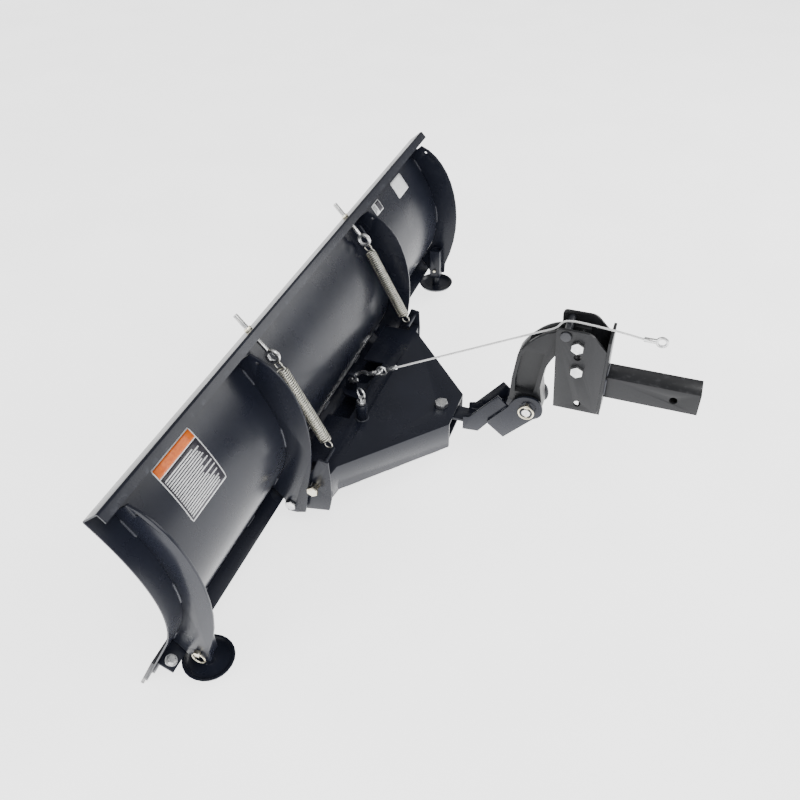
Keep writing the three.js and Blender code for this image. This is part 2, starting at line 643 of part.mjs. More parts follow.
function mountBolt(at) {
  const outer = MOUNT_HALF + GAP;
  return join(
    rodX(-outer - 10, outer + 1, ...at, MOUNT_BOLT_R, 16),
    rodX(outer, outer + 9, ...at, 13.5, 6),
    rodX(-outer - 9, -outer, ...at, 13.5, 6));
}

function guidePin() {
  const outer = MOUNT_HALF + GAP;
  return join(
    rodX(-outer - 1, outer + 1, ...GUIDE, GUIDE_R, 16),
    rodX(outer, outer + 4, ...GUIDE, 11, 16),
    rodX(-outer - 4, -outer, ...GUIDE, 11, 16));
}

function liftPin() {
  const end = 46;
  const shank = rodX(-CHEEK_X - 4, end, ...LIFT_PIN, LIFT_PIN_R, 24);
  const pin = join(shank, rodX(-42, -CHEEK_X - 3 - GAP, ...LIFT_PIN, 14, 24));
  return cut(pin, rodZ(40, LIFT_PIN[0], LIFT_PIN[1] - 20, LIFT_PIN[1] + 20, 3.3, 12));
}

// A lynch pin: a straight pin with a round bail that snaps over the end.
function lynchClip(x, y, z) {
  const pin = rodZ(x, y, z - 14, z + 16, 3, 12);
  const bail = new THREE.TorusGeometry(16, 2, 8, 24).rotateY(Math.PI / 2).translate(x + 6.5, y, z + 2);
  const knob = box(x - 3.5, x + 7, y - 3.5, y + 3.5, z + 13, z + 21);
  return join(pin, bail, knob);
}

// ---- Assembly ----
const plow = new THREE.Group();

function add(name, geometry, material) {
  const mesh = new THREE.Mesh(geometry, material);
  mesh.name = name;
  plow.add(mesh);
}

add('receiver_shank', receiverShank(), SATIN_GREY);
add('mount_web_front', mountWeb(650, MOUNT_HALF - MOUNT_PLATE - GAP, -92), SATIN_GREY);
add('mount_web_rear', mountWeb(REAR_WEB_Y, MOUNT_HALF, -5), SATIN_GREY);
add('hanger_channel', hanger(), SATIN_GREY);
add('cable_guide_pin', guidePin(), BARE);
add('mount_bolt_upper', mountBolt(MOUNT_BOLTS[0]), ZINC);
add('mount_bolt_lower', mountBolt(MOUNT_BOLTS[1]), ZINC);
add('lift_pin', liftPin(), ZINC);
add('lift_pin_lynch_clip', lynchClip(40, ...LIFT_PIN), ZINC);
add('arm_channel', armChannel(), BLUE_BLACK);
add('index_sector', armSector(), BLUE_BLACK);
add('lift_lug', liftLug(), BLUE_BLACK);
add('king_bolt', kingBolt(), ZINC);
add('winch_hook', winchHook(), ZINC);
add('cable_thimble', cableThimble(), ZINC);
add('cable_ferrule', cableFerrule(), ZINC);
add('winch_cable', winchCable(), BARE);
add('cable_end_eye', cableEye(), ZINC);
add('swivel_pan', panTop(), BLUE_BLACK);
add('swivel_pan_bottom', panBottom(), BLUE_BLACK);
add('pull_pin_housing', pullPinHousing(), BLUE_BLACK);
add('pull_pin', pullPin(), ZINC);
add('moldboard', moldboard(), BLUE_BLACK);
add('wear_bar', wearBar(), BARE);
add('bottom_angle', bottomAngle(), BLUE_BLACK);
WEAR_BOLTS.forEach((x, i) => add(`wear_bar_bolt_${i + 1}`, wearBolt(x), ZINC));
for (const [name, side] of SIDES) {
  add(`mount_plate_${name}`, mountPlate(side * (MOUNT_HALF - MOUNT_PLATE / 2)), SATIN_GREY);
  add(`arm_cheek_${name}`, armCheek(side * CHEEK_X), BLUE_BLACK);
  add(`frame_ear_${name}`, frameEar(side), BLUE_BLACK);
  add(`trip_bolt_${name}`, sideBolt(side, MID_RIB_X + 2.5, FRAME_EAR_X - 2.5, TRIP, TRIP_BOLT_R, 13), ZINC);
  add(`stop_bolt_${name}`, sideBolt(side, MID_RIB_X + 2.5, FRAME_EAR_X - 2.5, STOP, STOP_BOLT_R, 13), ZINC);
  add(`end_rib_${name}`, endRib(side * END_RIB_X), BLUE_BLACK);
  add(`middle_rib_${name}`, midRib(side * MID_RIB_X), BLUE_BLACK);
  add(`eye_bolt_${name}`, eyeBolt(side * EYE_X), ZINC);
  add(`eye_nut_outer_${name}`, eyeNut(side * EYE_X, 1), ZINC);
  add(`eye_nut_inner_${name}`, eyeNut(side * EYE_X, -1), ZINC);
  add(`trip_spring_${name}`, tripSpring(side * EYE_X), ZINC);
  add(`skid_sleeve_${name}`, skidSleeve(side * SKID_X), BLUE_BLACK);
  add(`skid_shoe_${name}`, skidShoe(side * SKID_X), BLUE_BLACK);
  add(`skid_pin_${name}`, skidPin(side), ZINC);
}

// The origin is the point on top of the receiver shank that the mount interface names.
plow.position.set(0, -MOUNT_POINT_Y, -SHANK_TOP);
plow.updateMatrixWorld(true);

export default plow;
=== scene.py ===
"""An ATV snow plow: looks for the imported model. Metres, in the plow's own frame."""
import json
import math

import bpy
from mathutils import Matrix, Vector


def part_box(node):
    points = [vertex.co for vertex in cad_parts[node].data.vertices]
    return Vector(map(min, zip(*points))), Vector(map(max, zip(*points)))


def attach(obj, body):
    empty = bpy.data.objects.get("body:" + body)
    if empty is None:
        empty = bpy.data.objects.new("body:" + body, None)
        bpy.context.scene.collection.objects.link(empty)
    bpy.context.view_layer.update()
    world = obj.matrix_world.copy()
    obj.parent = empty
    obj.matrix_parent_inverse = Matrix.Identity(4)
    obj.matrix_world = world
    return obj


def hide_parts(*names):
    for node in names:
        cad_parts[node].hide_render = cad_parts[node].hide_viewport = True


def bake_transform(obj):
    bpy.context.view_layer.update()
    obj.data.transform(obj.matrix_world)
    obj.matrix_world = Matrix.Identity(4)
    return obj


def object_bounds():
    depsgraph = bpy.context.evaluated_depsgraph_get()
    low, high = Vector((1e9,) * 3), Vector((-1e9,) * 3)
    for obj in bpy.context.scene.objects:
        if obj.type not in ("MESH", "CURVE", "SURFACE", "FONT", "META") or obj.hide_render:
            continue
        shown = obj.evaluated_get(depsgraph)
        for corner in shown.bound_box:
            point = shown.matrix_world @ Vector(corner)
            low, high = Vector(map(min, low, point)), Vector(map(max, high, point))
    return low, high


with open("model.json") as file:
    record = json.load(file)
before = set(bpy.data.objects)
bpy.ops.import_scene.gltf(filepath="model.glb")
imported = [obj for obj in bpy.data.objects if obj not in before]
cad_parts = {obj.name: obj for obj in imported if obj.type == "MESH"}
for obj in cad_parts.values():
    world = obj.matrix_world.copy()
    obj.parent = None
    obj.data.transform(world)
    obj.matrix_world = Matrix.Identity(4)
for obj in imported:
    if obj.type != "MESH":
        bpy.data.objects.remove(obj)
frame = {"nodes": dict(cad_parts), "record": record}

CAD_BOX = [list(corner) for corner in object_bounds()]
NODES = frame["nodes"]
SIDES = (("left", -1), ("right", 1))
MM = 0.001

# Sizes in the blade's own millimetres: y = 0, z = 0 is the moldboard's top bend.
# They are the CAD part's driving sizes, so that each detail meets its node.
ORIGIN_Y, ORIGIN_Z = -800, 97
CURL_CONTROL = (134, -158)
CURL_END = (82, -286)
MOLDBOARD_FOOT = (0, -447)
SHEET = 3
FLANGE_WIDTH = 45
LIP_WIDTH = 18
BEND_RADIUS = 5
END_RIB_X = 714
MID_RIB_X = 306
RIB_HALF = 2.5
PAN_CORNER = (262, 187)
PAN_TAIL = (56, 374)
EAR_INNER_X = 291.0
PULL_PIN = (98, 180)
NECK_HALF = 22
CHEEK_INNER_X = 28
SHANK = 50.8
EYE_X = 246
EYE_REACH = 66
EYE_THREAD = 44
EYE_WIRE = 5
HOOK_POINT = (172, -262)
SPRING_OUTER = 13.6
SPRING_WIRE = 1.5
SPRING_GAP = 1.75
CABLE_RADIUS = 2.4
LUG_HOLE = (114, -266)
GUIDE_TOP = (598, -6)


def place(x, y, z):
    """A point of the blade's millimetre frame in the model's metres."""
    return Vector((x, y + ORIGIN_Y, z + ORIGIN_Z)) * MM


def unit(a, b):
    length = math.hypot(b[0] - a[0], b[1] - a[1])
    return (b[0] - a[0]) / length, (b[1] - a[1]) / length


def along(start, direction, length):
    return start[0] + direction[0] * length, start[1] + direction[1] * length


TOP_DIRECTION = unit((0, 0), CURL_CONTROL)
FLANGE_DIRECTION = (-TOP_DIRECTION[1], TOP_DIRECTION[0])
FOOT_DIRECTION = unit(CURL_END, MOLDBOARD_FOOT)
FLANGE_MIDDLE = along((0, 0), FLANGE_DIRECTION, FLANGE_WIDTH / 2)
EYE = along(FLANGE_MIDDLE, TOP_DIRECTION, EYE_REACH)
PULL = unit(LUG_HOLE, GUIDE_TOP)


def curl(t, offset=0.0):
    """A point on the moldboard's back face at t from 0 to 1 down the curl, pushed out by offset."""
    (cy, cz), (ey, ez) = CURL_CONTROL, CURL_END
    y = 2 * (1 - t) * t * cy + t * t * ey
    z = 2 * (1 - t) * t * cz + t * t * ez
    slope_y = 2 * (1 - 2 * t) * cy + 2 * t * ey
    slope_z = 2 * (1 - 2 * t) * cz + 2 * t * ez
    length = math.hypot(slope_y, slope_z)
    return y - slope_z / length * offset, z + slope_y / length * offset


# ---- Camera ----
CAMERA_SPOT = (1.3813, -0.0406, 1.0439)
CAMERA_DIRECTION = (-0.7146, -0.2708, -0.6450)
CAMERA_ROLL = -0.025
LENS, SENSOR = 36.87, 36


def make_camera():
    direction = Vector(CAMERA_DIRECTION).normalized()
    right = direction.cross(Vector((0, 0, 1))).normalized()
    up = right.cross(direction)
    turned_right = right * math.cos(CAMERA_ROLL) + up * math.sin(CAMERA_ROLL)
    turned_up = up * math.cos(CAMERA_ROLL) - right * math.sin(CAMERA_ROLL)
    data = bpy.data.cameras.new("camera")
    data.lens = LENS
    data.sensor_width = SENSOR
    data.clip_start = 0.01
    camera = bpy.data.objects.new("camera", data)
    matrix = Matrix((turned_right, turned_up, -direction)).transposed().to_4x4()
    matrix.translation = Vector(CAMERA_SPOT)
    camera.matrix_world = matrix
    bpy.context.collection.objects.link(camera)
    bpy.context.scene.camera = camera


make_camera()


# ---- Mesh helpers ----
def add_mesh(name, vertices, faces, smooth=True):
    mesh = bpy.data.meshes.new(name)
    mesh.from_pydata([tuple(v) for v in vertices], [], faces)
    mesh.validate()
    mesh.update()
    if smooth:
        mesh.polygons.foreach_set("use_smooth", [True] * len(mesh.polygons))
    piece = bpy.data.objects.new(name, mesh)
    bpy.context.collection.objects.link(piece)
    return piece


def sweep(path, radius_at, sides, vertices, faces):
    """Adds a closed tube along path; radius_at(i) is its radius at each point."""
    base = len(vertices)
    count = len(path)
    normal = None
    for i, point in enumerate(path):
        ahead = path[min(i + 1, count - 1)]
        behind = path[max(i - 1, 0)]
        tangent = (ahead - behind).normalized()
        if normal is None:
            normal = tangent.orthogonal().normalized()
        normal = (normal - tangent * normal.dot(tangent)).normalized()
        other = tangent.cross(normal)
        for k in range(sides):
            angle = 2 * math.pi * k / sides
            spoke = normal * math.cos(angle) + other * math.sin(angle)
            vertices.append(point + spoke * radius_at(i))
    for i in range(count - 1):
        for k in range(sides):
            a = base + i * sides + k
            b = base + i * sides + (k + 1) % sides
            faces.append((a, b, b + sides, a + sides))
    faces.append(tuple(base + k for k in reversed(range(sides))))
    last = base + (count - 1) * sides
    faces.append(tuple(last + k for k in range(sides)))


def smooth_path(points, step):
    """A Catmull-Rom curve through points, resampled about every step metres."""
    dense = []
    ends = [points[0] * 2 - points[1]] + list(points) + [points[-1] * 2 - points[-2]]
    for i in range(1, len(ends) - 2):
        p0, p1, p2, p3 = ends[i - 1:i + 3]
        pieces = max(2, int((p2 - p1).length / step))
        for k in range(pieces):
            t = k / pieces
            dense.append(0.5 * ((2 * p1) + (p2 - p0) * t + (2 * p0 - 5 * p1 + 4 * p2 - p3) * t * t
                                + (3 * p1 - p0 - 3 * p2 + p3) * t * t * t))
    dense.append(points[-1].copy())
    return dense


# ---- Winch line: a taut wire rope of six strands ----
def on_line(run):
    return place(0, *along(LUG_HOLE, PULL, run))


CABLE_START = 130.3
BEND_END = (590, 0)
CABLE_ROUTE = [
    on_line(CABLE_START), on_line(200), on_line(300), on_line(400), on_line(480), on_line(524),
    place(0, *BEND_END), place(0, 604, 5.2), place(0, 622, 6), place(0, 660, 4), place(0, 705, 0),
    place(0, 750, -6),
]
STRANDS = 6
STRAND_RADIUS = 0.8 * MM
STRAND_SIDES = 6
LAY_LENGTH = 26 * MM
SINK = 0.98


def winch_cable():
    path = smooth_path(CABLE_ROUTE, 3 * MM)
    vertices, faces = [], []
    lengths = [0.0]
    for a, b in zip(path, path[1:]):
        lengths.append(lengths[-1] + (b - a).length)
    sideways = Vector((1, 0, 0))
    reach = (CABLE_RADIUS * MM - STRAND_RADIUS) * SINK
    for strand in range(STRANDS):
        helix = []
        for i, point in enumerate(path):
            tangent = (path[min(i + 1, len(path) - 1)] - path[max(i - 1, 0)]).normalized()
            other = tangent.cross(sideways).normalized()
            angle = 2 * math.pi * (strand / STRANDS + lengths[i] / LAY_LENGTH)
            helix.append(point + (sideways * math.cos(angle) + other * math.sin(angle)) * reach)
        sweep(helix, lambda i: STRAND_RADIUS, STRAND_SIDES, vertices, faces)
    sweep(path, lambda i: STRAND_RADIUS, STRAND_SIDES, vertices, faces)
    piece = add_mesh("winch_rope", vertices, faces)
    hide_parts("winch_cable")
    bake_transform(piece)


winch_cable()


# ---- Materials ----
def new_material(name):
    material = bpy.data.materials.new(name)
    material.use_nodes = True
    tree = material.node_tree
    return material, tree, tree.nodes["Principled BSDF"]


def noise(tree, scale, detail=4.0, stretch=(1, 1, 1)):
    """A noise texture in the plow's own metres."""
    coordinates = tree.nodes.new("ShaderNodeTexCoord")
    mapping = tree.nodes.new("ShaderNodeMapping")
    mapping.inputs["Scale"].default_value = stretch
    texture = tree.nodes.new("ShaderNodeTexNoise")
    texture.inputs["Scale"].default_value = scale
    texture.inputs["Detail"].default_value = detail
    tree.links.new(coordinates.outputs["Object"], mapping.inputs["Vector"])
    tree.links.new(mapping.outputs["Vector"], texture.inputs["Vector"])
    return texture.outputs["Fac"]


def ramp(tree, value, low, high, start=0.35, end=0.65):
    node = tree.nodes.new("ShaderNodeValToRGB")
    node.color_ramp.elements[0].position = start
    node.color_ramp.elements[1].position = end
    node.color_ramp.elements[0].color = (*low, 1)
    node.color_ramp.elements[1].color = (*high, 1)
    tree.links.new(value, node.inputs["Fac"])
    return node.outputs["Color"]


def rescale(tree, value, start, end, low=0.0, high=1.0):
    """Maps value's range from start to end onto low to high."""
    node = tree.nodes.new("ShaderNodeMapRange")
    node.inputs["From Min"].default_value = start
    node.inputs["From Max"].default_value = end
    node.inputs["To Min"].default_value = low
    node.inputs["To Max"].default_value = high
    tree.links.new(value, node.inputs["Value"])
    return node.outputs["Result"]


def spread(tree, value, low, high):
    """Spreads a noise's middle values over low to high."""
    return rescale(tree, value, 0.3, 0.7, low, high)


def multiply(tree, first, second):
    node = tree.nodes.new("ShaderNodeMath")
    node.operation = "MULTIPLY"
    tree.links.new(first, node.inputs[0])
    tree.links.new(second, node.inputs[1])
    return node.outputs["Value"]


def mix(tree, factor, first, second):
    node = tree.nodes.new("ShaderNodeMix")
    node.data_type = "RGBA"
    tree.links.new(factor, node.inputs["Factor"])
    tree.links.new(first, node.inputs["A"])
    tree.links.new(second, node.inputs["B"])
    return node.outputs["Result"]


def add_bump(tree, shader, height, strength, distance):
    node = tree.nodes.new("ShaderNodeBump")
    node.inputs["Strength"].default_value = strength
    node.inputs["Distance"].default_value = distance
    tree.links.new(height, node.inputs["Height"])
    tree.links.new(node.outputs["Normal"], shader.inputs["Normal"])


def worn_edges(tree):
    """A mask that is 1 on convex edges, broken up by noise."""
    geometry = tree.nodes.new("ShaderNodeNewGeometry")
    edge = rescale(tree, geometry.outputs["Pointiness"], 0.55, 0.66)
    return multiply(tree, edge, rescale(tree, noise(tree, 60, 6), 0.52, 0.68))


def powder_coat(name, dark, light, worn, rough, coat):
    """Powder coat over steel: soft orange peel, fine speckle, and chipped convex edges."""
    material, tree, shader = new_material(name)
    body = ramp(tree, noise(tree, 5, 5), dark, light)
    speckle = ramp(tree, noise(tree, 700, 2), dark, light, 0.62, 0.9)
    grain = mix(tree, rescale(tree, noise(tree, 240, 3), 0.55, 0.9), body, speckle)
    chipped = ramp(tree, noise(tree, 90, 3), worn, [min(1, c * 1.5) for c in worn])
    tree.links.new(mix(tree, worn_edges(tree), grain, chipped), shader.inputs["Base Color"])
    tree.links.new(spread(tree, noise(tree, 14, 6), *rough), shader.inputs["Roughness"])
    shader.inputs["Metallic"].default_value = 0.0
    shader.inputs["Coat Weight"].default_value = coat
    shader.inputs["Coat Roughness"].default_value = 0.18
    shader.inputs["Specular IOR Level"].default_value = 0.26
    add_bump(tree, shader, noise(tree, 420, 2), 0.07, 0.0006)
    return material


def plated_steel(name, low, high, rough):
    """Plated steel: a cloudy passivate colour and a fine grain."""
    material, tree, shader = new_material(name)
    tree.links.new(ramp(tree, noise(tree, 90, 5), low, high), shader.inputs["Base Color"])
    tree.links.new(spread(tree, noise(tree, 260, 4), *rough), shader.inputs["Roughness"])
    shader.inputs["Metallic"].default_value = 1.0
    add_bump(tree, shader, noise(tree, 900, 3), 0.15, 0.0003)
    return material


def wear_steel(name, edge_z):
    """Painted steel that snow and gravel have polished along the lower edge."""
    material, tree, shader = new_material(name)
    paint = ramp(tree, noise(tree, 8, 5), (0.010, 0.011, 0.016), (0.020, 0.021, 0.027))
    steel = ramp(tree, noise(tree, 40, 5, (0.3, 1, 4)), (0.2, 0.2, 0.2), (0.42, 0.42, 0.41))
    coordinates = tree.nodes.new("ShaderNodeTexCoord")
    split = tree.nodes.new("ShaderNodeSeparateXYZ")
    tree.links.new(coordinates.outputs["Object"], split.inputs["Vector"])
    height = rescale(tree, split.outputs["Z"], edge_z + 0.03, edge_z + 0.012)
    ragged = multiply(tree, height, rescale(tree, noise(tree, 30, 6), 0.35, 0.6))
    tree.links.new(mix(tree, ragged, paint, steel), shader.inputs["Base Color"])
    tree.links.new(ragged, shader.inputs["Metallic"])
    tree.links.new(spread(tree, noise(tree, 50, 5), 0.3, 0.55), shader.inputs["Roughness"])
    add_bump(tree, shader, noise(tree, 300, 4), 0.2, 0.0006)
    return material


def vinyl(name, low, high):
    """Printed vinyl: slightly uneven ink and a faint film texture."""
    material, tree, shader = new_material(name)
    tree.links.new(ramp(tree, noise(tree, 160, 4), low, high), shader.inputs["Base Color"])
    tree.links.new(spread(tree, noise(tree, 50, 3), 0.35, 0.5), shader.inputs["Roughness"])
    add_bump(tree, shader, noise(tree, 500, 2), 0.08, 0.0003)
    return material


BLUE_BLACK = powder_coat("blue_black_powder_coat", (0.0085, 0.010, 0.017), (0.013, 0.015, 0.024),
                         (0.05, 0.054, 0.066), (0.24, 0.33), 0.1)
GREY_COAT = powder_coat("grey_powder_coat", (0.010, 0.0105, 0.012), (0.017, 0.0175, 0.020),
                        (0.05, 0.05, 0.055), (0.32, 0.44), 0.05)
ZINC = plated_steel("zinc_plate", (0.58, 0.59, 0.60), (0.80, 0.80, 0.79), (0.22, 0.42))
YELLOW_ZINC = plated_steel("yellow_zinc", (0.66, 0.60, 0.44), (0.80, 0.77, 0.64), (0.22, 0.4))
SPRING_STEEL = plated_steel("spring_zinc", (0.58, 0.57, 0.50), (0.80, 0.78, 0.70), (0.24, 0.4))
ROPE = plated_steel("wire_rope", (0.16, 0.16, 0.16), (0.32, 0.32, 0.31), (0.35, 0.55))
WEAR = wear_steel("wear_steel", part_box("wear_bar")[0].z)
WELD = powder_coat("painted_weld", (0.022, 0.024, 0.034), (0.045, 0.048, 0.060),
                   (0.10, 0.10, 0.12), (0.28, 0.42), 0.2)
WHITE_VINYL = vinyl("white_vinyl", (0.72, 0.73, 0.74), (0.84, 0.85, 0.86))
BLACK_VINYL = vinyl("black_vinyl", (0.016, 0.015, 0.022), (0.034, 0.031, 0.042))
ORANGE_VINYL = vinyl("orange_vinyl", (0.60, 0.10, 0.003), (0.72, 0.15, 0.006))

BY_SLOT = {
    "blue_black_powder_coat": BLUE_BLACK, "grey_powder_coat": GREY_COAT, "zinc_plate": ZINC,
    "yellow_zinc": YELLOW_ZINC, "wire_rope": ROPE, "wear_steel": WEAR,
}


EDGE_RADIUS = 0.6 * MM
EDGE_ANGLE = math.radians(40)
SMOOTH_ANGLE = math.radians(32)


def dress_cad_nodes():
    """Gives each CAD node its slot's material and rounds its edges a little."""
    for row in frame["record"]["subparts"]:
        node = NODES[row["node"]]
        node.data.materials.clear()
        node.data.materials.append(BY_SLOT[row["material_slot"]])
        weld = node.modifiers.new("weld", "WELD")
        weld.merge_threshold = 0.02 * MM
        bevel = node.modifiers.new("edges", "BEVEL")
        bevel.width = EDGE_RADIUS
        bevel.segments = 2
        bevel.limit_method = "ANGLE"
        bevel.angle_limit = EDGE_ANGLE
        bevel.use_clamp_overlap = True
        node.data.polygons.foreach_set("use_smooth", [True] * len(node.data.polygons))
        node.data.set_sharp_from_angle(angle=SMOOTH_ANGLE)


dress_cad_nodes()


def finish_piece(piece, material, body):
    piece.data.materials.append(material)
    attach(piece, body)


# ---- Moldboard: one rolled sheet with round bends ----
def round_corner(before, corner, after, radius, steps=5):
    """Points of an arc of that radius between the two straight lines that meet at corner."""
    first = unit(corner, before)
    second = unit(corner, after)
    half = math.acos(max(-1, min(1, first[0] * second[0] + first[1] * second[1]))) / 2
    reach = radius / math.tan(half)
    start = along(corner, first, reach)
    end = along(corner, second, reach)
    middle = unit(corner, ((start[0] + end[0]) / 2, (start[1] + end[1]) / 2))
    centre = along(corner, middle, radius / math.sin(half))
    a0 = math.atan2(start[1] - centre[1], start[0] - centre[0])
    a1 = math.atan2(end[1] - centre[1], end[0] - centre[0])
    turn = (a1 - a0 + math.pi) % (2 * math.pi) - math.pi
    return [(centre[0] + radius * math.cos(a0 + turn * i / steps),
             centre[1] + radius * math.sin(a0 + turn * i / steps)) for i in range(steps + 1)]


CURL_STATIONS = 40
BAYS = 24


def moldboard_profile():
    """The sheet's outline in (y, z): its rear face going down, then its front face going up."""
    flange_end = along((0, 0), FLANGE_DIRECTION, FLANGE_WIDTH)
    lip_end = along(flange_end, TOP_DIRECTION, LIP_WIDTH)
    inset = -SHEET
    corner_front = along(along((0, 0), TOP_DIRECTION, inset), FLANGE_DIRECTION, inset)
    lip_corner = along(flange_end, TOP_DIRECTION, inset)
    lip_inner = along(flange_end, FLANGE_DIRECTION, inset)
    steps = range(1, CURL_STATIONS + 1)
    curl_back = [curl(i / CURL_STATIONS) for i in steps]
    curl_front = [curl(i / CURL_STATIONS, inset) for i in steps]
    foot_normal = (-FOOT_DIRECTION[1], FOOT_DIRECTION[0])
    foot_front = along(MOLDBOARD_FOOT, foot_normal, inset)
    rear = [lip_end]
    rear += [along(lip_end, FLANGE_DIRECTION, inset)]
    rear += round_corner(along(lip_end, FLANGE_DIRECTION, inset), lip_inner, (0, 0), BEND_RADIUS - SHEET)
    rear += round_corner(lip_inner, (0, 0), curl_back[2], BEND_RADIUS - SHEET)
    rear += curl_back[2:] + [MOLDBOARD_FOOT]
    front = [foot_front] + curl_front[::-1][:-2]
    front += round_corner(curl_front[2], corner_front, lip_corner, BEND_RADIUS)
    front += round_corner(corner_front, lip_corner, lip_end, BEND_RADIUS)
    return rear + front


def moldboard():
    profile = moldboard_profile()
    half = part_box("moldboard")[1].x / MM
    inner = [-half + 2 * half * i / BAYS for i in range(1, BAYS)]
    columns = [-half, -half + 0.5] + inner + [half - 0.5, half]
    vertices, faces = [], []
    for x in columns:
        vertices += [place(x, *point) for point in profile]
    count = len(profile)
    for i in range(len(columns) - 1):
        for k in range(count):
            a = i * count + k
            b = i * count + (k + 1) % count
            faces.append((a, a + count, b + count, b))
    faces.append(tuple(range(count)))
    faces.append(tuple((len(columns) - 1) * count + k for k in reversed(range(count))))
    piece = add_mesh("moldboard_sheet", vertices, faces)
    piece.data.set_sharp_from_angle(angle=math.radians(35))
    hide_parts("moldboard")
    finish_piece(piece, BLUE_BLACK, "blade")


moldboard()


# ---- Trip springs: wound coils with a loop at each end ----
UPPER_HOOK = 34
LOWER_HOOK = 30
LOOP_RADIUS = 8.5
LOOP_REACH = 12
LOOP_STEPS = 16
LOOP_SWEEP = 300
TURN_STEPS = 14


def trip_spring(name, side):
    x = side * EYE_X
    axis = unit(EYE, HOOK_POINT)
    length = math.hypot(HOOK_POINT[0] - EYE[0], HOOK_POINT[1] - EYE[1])
    radius = SPRING_OUTER - SPRING_WIRE
    start, end = UPPER_HOOK, length - LOWER_HOOK
    pitch = 2 * SPRING_WIRE * SPRING_GAP
    turns = round((end - start) / pitch)

    def local(run, across, out):
        """run along the spring, across is along x, out is square to both."""
        y, z = along(EYE, axis, run)
        return place(x + across, y - axis[1] * out, z + axis[0] * out)

    def loop_point(run, share):
        angle = math.radians(LOOP_SWEEP * share)
        return local(run - LOOP_RADIUS * math.cos(angle), 0.0, LOOP_RADIUS * math.sin(angle))

    shares = [i / LOOP_STEPS for i in range(LOOP_STEPS + 1)]
    path = [loop_point(start - LOOP_REACH, 1 - share) for share in shares]
    steps = turns * TURN_STEPS
    for i in range(steps + 1):
        angle = 2 * math.pi * i / TURN_STEPS
        run = start + (end - start) * i / steps
        path.append(local(run, radius * math.sin(angle), radius * math.cos(angle)))
    path += [loop_point(end + LOOP_REACH, share) for share in shares]
    vertices, faces = [], []
    sweep(path, lambda i: SPRING_WIRE * MM, 8, vertices, faces)
    piece = add_mesh(f"trip_spring_coil_{name}", vertices, faces)
    piece.data.materials.append(SPRING_STEEL)
    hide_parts(f"trip_spring_{name}")
    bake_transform(piece)


for side_name, side in SIDES:
    trip_spring(side_name, side)


# ---- Weld beads ----
# PROUD is how far a bead's middle stands off the plate it lies on.
PROUD = 0.8
RIB_STITCHES = ((0.1, 0.21), (0.55, 0.74))
FOOT_STITCH = (-318, -344)
SEAM = (41.0, -369.0)
SEAM_SPACING = 200
SEAM_STITCH = 36
PAN_STITCHES = ((0.06, 0.2), (0.42, 0.56), (0.8, 0.93))
EAR_WELD_Y = 184
HOUSING_WELD_R = 13.8


def bead(points, radius, vertices, faces):
    """A weld bead along points, rippled like stacked dimes."""
    path = smooth_path(points, 1.2 * MM)
    count = len(path)

    def radius_at(i):
        ends = min(1.0, (min(i, count - 1 - i) + 1) / 4)
        return radius * MM * ends * (1 + 0.12 * math.sin(i * 2.1))

    sweep(path, radius_at, 8, vertices, faces)


def weld_piece(name, beads, body):
    """beads: (points, radius) pairs that make one piece."""
    vertices, faces = [], []
    for points, radius in beads:
        bead(points, radius, vertices, faces)
    finish_piece(add_mesh(name, vertices, faces), WELD, body)


def straight(start, end):
    """Three points of a straight bead."""
    return [start, (start + end) / 2, end]


def on_curl(x, t0, t1, count=6):
    return [place(x, *curl(t0 + (t1 - t0) * i / count, PROUD)) for i in range(count + 1)]


def foot_point(x, z):
    """A point just behind the moldboard's straight foot at height z."""
    run = (z - CURL_END[1]) / FOOT_DIRECTION[1]
    y, height = along(CURL_END, FOOT_DIRECTION, run)
    return place(x, y + PROUD, height)


def blade_welds():
    for name, side in SIDES:
        beads = []
        for rib_x in (END_RIB_X, MID_RIB_X):
            for face in (-1, 1):
                x = side * (rib_x + face * (RIB_HALF + PROUD))
                for t0, t1 in RIB_STITCHES:
                    beads.append((on_curl(x, t0, t1), 2.6))
                beads.append((straight(foot_point(x, FOOT_STITCH[0]), foot_point(x, FOOT_STITCH[1])), 2.4))
        weld_piece(f"rib_welds_{name}", beads, "blade")


def angle_welds():
    """Short stitches along the seam between the bottom angle and the moldboard."""
    beads = []
    for i in range(-3, 4):
        x = i * SEAM_SPACING
        ends = [place(x + end * SEAM_STITCH / 2, *SEAM) for end in (-1, 1)]
        beads.append((straight(*ends), 2.2))
    weld_piece("angle_welds", beads, "blade")


def pan_welds():
    """Stitches between the pan's flanges and its bottom plate, and between its wings and the ears."""
    low, high = (corner.z / MM - ORIGIN_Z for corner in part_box("swivel_pan"))
    for name, side in SIDES:
        def flange_point(t):
            x = PAN_CORNER[0] + (PAN_TAIL[0] - PAN_CORNER[0]) * t
            y = PAN_CORNER[1] + (PAN_TAIL[1] - PAN_CORNER[1]) * t
            return place(side * (x - 2), y - 2, low - 0.3)

        beads = [(straight(flange_point(t0), flange_point(t1)), 2.2) for t0, t1 in PAN_STITCHES]
        for z0, z1 in ((high - 6, high - 26), (low + 24, low + 6)):
            ends = [place(side * EAR_INNER_X, EAR_WELD_Y, z) for z in (z0, z1)]
            beads.append((straight(*ends), 2.0))
        weld_piece(f"pan_welds_{name}", beads, "swivel_frame")


def housing_weld():
    """A ring bead round the foot of the pull pin's housing."""
    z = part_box("swivel_pan")[1].z / MM - ORIGIN_Z + PROUD
    points = []
    for i in range(25):
        angle = 2 * math.pi * i / 24
        across, back = HOUSING_WELD_R * math.cos(angle), HOUSING_WELD_R * math.sin(angle)
        points.append(place(PULL_PIN[0] + across, PULL_PIN[1] + back, z))
    weld_piece("housing_weld", [(points, 2.0)], "swivel_frame")


